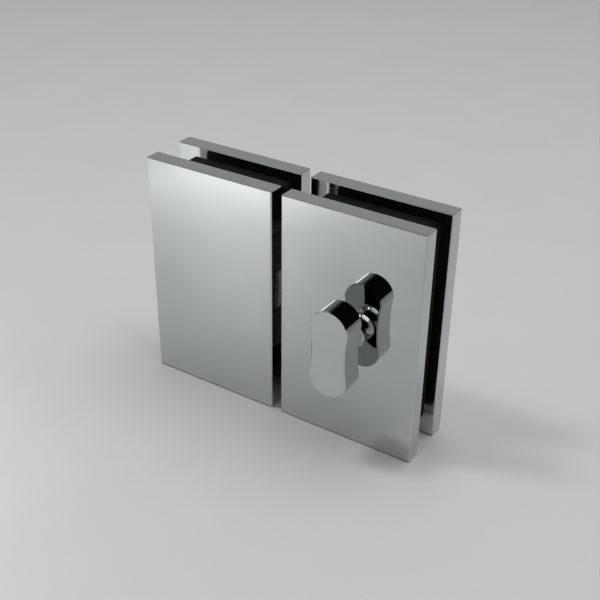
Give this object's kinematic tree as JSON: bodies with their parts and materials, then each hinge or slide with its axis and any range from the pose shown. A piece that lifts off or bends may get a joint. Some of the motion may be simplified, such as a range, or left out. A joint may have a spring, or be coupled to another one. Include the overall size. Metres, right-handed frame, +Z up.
{
  "type": "glass door latch",
  "caption": "Inline glass-to-glass door latch in bright chrome: plate-clamp keeper and door half with a peanut-shaped thumb turn that throws a sliding bolt.",
  "frame": {"origin": "midway between the two halves, on the middle plane of the glass, at the bottom edge of the plates", "axes": "+X along the panes from the keeper half to the latch half, +Y from the knob's side to the back, +Z up"},
  "size_m": [0.114, 0.0409, 0.09],
  "materials": {
    "chrome_plate": "mirror-polished chrome",
    "pad_rubber": "matt black rubber",
    "cast_metal": "tumbled casting",
    "stainless": "plain stainless steel",
    "bolt_steel": "ground stainless steel",
    "crank_brass": "machined brass",
    "acetal": "natural acetal",
    "black_nylon": "matt black nylon"
  },
  "bodies": {
    "keeper_half": {"keeper_front_plate": "chrome_plate", "keeper_back_plate": "chrome_plate", "keeper_front_pad": "pad_rubber", "keeper_back_pad": "pad_rubber", "keeper_block": "cast_metal", "strike_liner": "black_nylon", "keeper_clamp_screws": "stainless"},
    "latch_half": {"latch_front_plate": "chrome_plate", "latch_back_plate": "chrome_plate", "latch_front_pad": "pad_rubber", "latch_back_pad": "pad_rubber", "lock_case": "cast_metal", "lock_cover": "stainless", "lock_cover_screws": "stainless", "latch_clamp_screws": "stainless", "front_bush": "acetal", "back_bush": "acetal", "detent_plunger": "stainless", "detent_ball": "stainless"},
    "turn": {"turn_knob": "chrome_plate", "knob_washer": "black_nylon", "knob_grub_screw": "stainless", "spindle": "stainless", "crank": "crank_brass", "crank_pin": "stainless"},
    "sliding_bolt": {"bolt": "bolt_steel"}
  },
  "joints": [
    {"name": "door_opening", "type": "slide", "parent": "keeper_half", "child": "latch_half", "axis": [0, -1, 0], "range_m": [0, 0.05]},
    {"name": "knob_turn", "type": "hinge", "parent": "latch_half", "child": "turn", "pos_m": [0.0315, 0, 0.045], "axis": [0, 1, 0], "range_deg": [0, 90]},
    {"name": "bolt_throw", "type": "slide", "parent": "latch_half", "child": "sliding_bolt", "axis": [-1, 0, 0], "range_m": [0, 0.01132]}
  ],
  "couplings": [
    {"joint": "bolt_throw", "follows": "knob_turn", "m_per_rad": 0.0072025}
  ]
}
